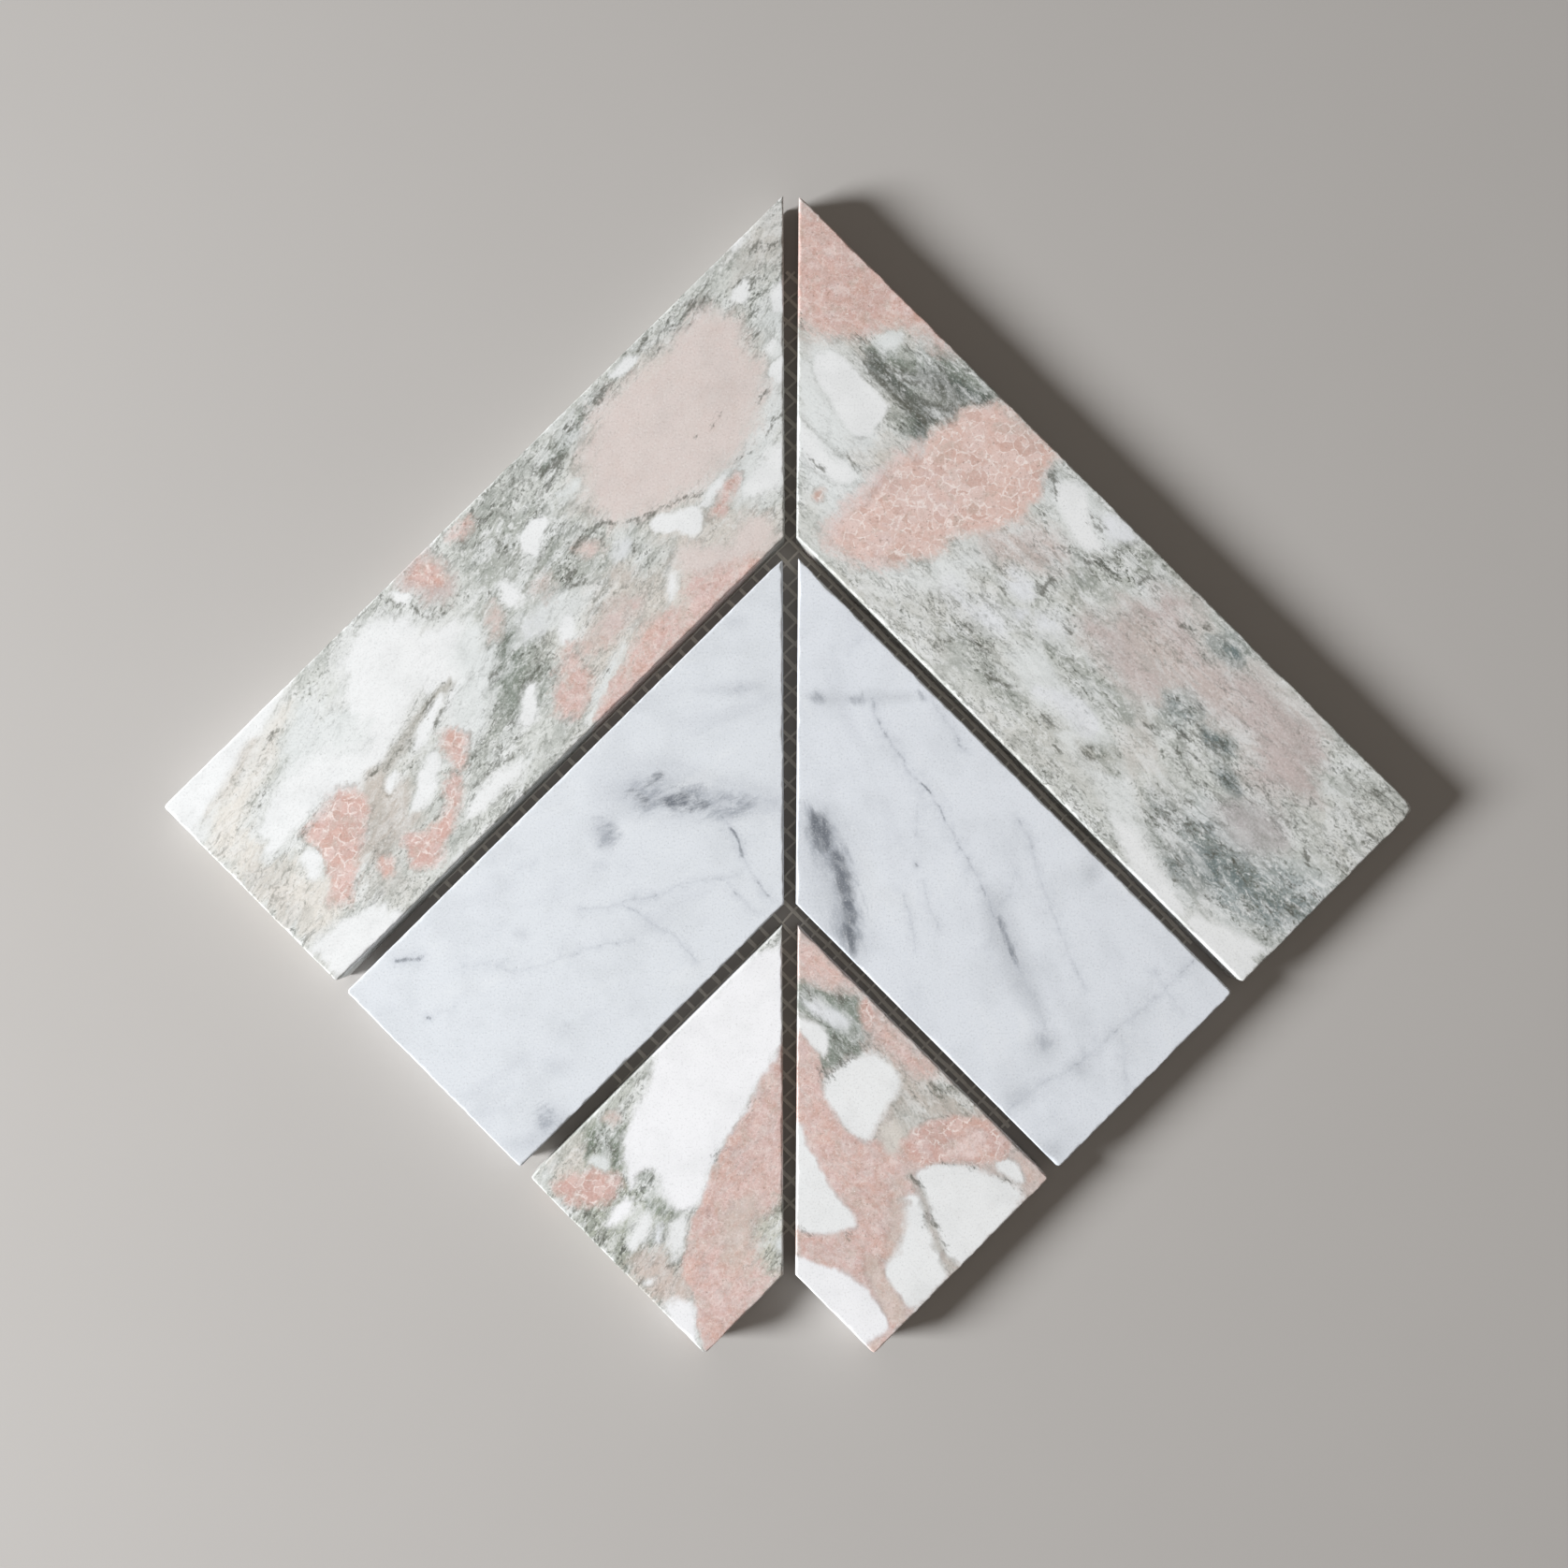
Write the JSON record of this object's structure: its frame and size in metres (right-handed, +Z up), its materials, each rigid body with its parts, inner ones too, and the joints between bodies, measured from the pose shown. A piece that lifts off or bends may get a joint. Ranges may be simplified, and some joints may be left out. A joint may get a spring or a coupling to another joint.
{
  "type": "marble mosaic tile",
  "caption": "Flat chevron mosaic tile: honed marble strips, pink-green and white rows in turn, mitred at a central spine, set with open joints on a glass-fibre net.",
  "frame": {"origin": "middle of the tile's bounding box, on the underside of the net that it lies on", "axes": "+X across the tile, to the right as the face is seen; +Y along the spine, from the notch to the points; +Z up out of the honed face"},
  "size_m": [0.3028, 0.281, 0.0105],
  "materials": {
    "rose_green_marble": "satin",
    "white_marble": "satin",
    "glass_fibre": "matte"
  },
  "bodies": {
    "root": {"upper_left_strip": "rose_green_marble", "upper_right_strip": "rose_green_marble", "middle_left_strip": "white_marble", "middle_right_strip": "white_marble", "lower_left_strip": "rose_green_marble", "lower_right_strip": "rose_green_marble", "broad_net_yarns": "glass_fibre", "thin_net_yarns": "glass_fibre"}
  },
  "joints": []
}
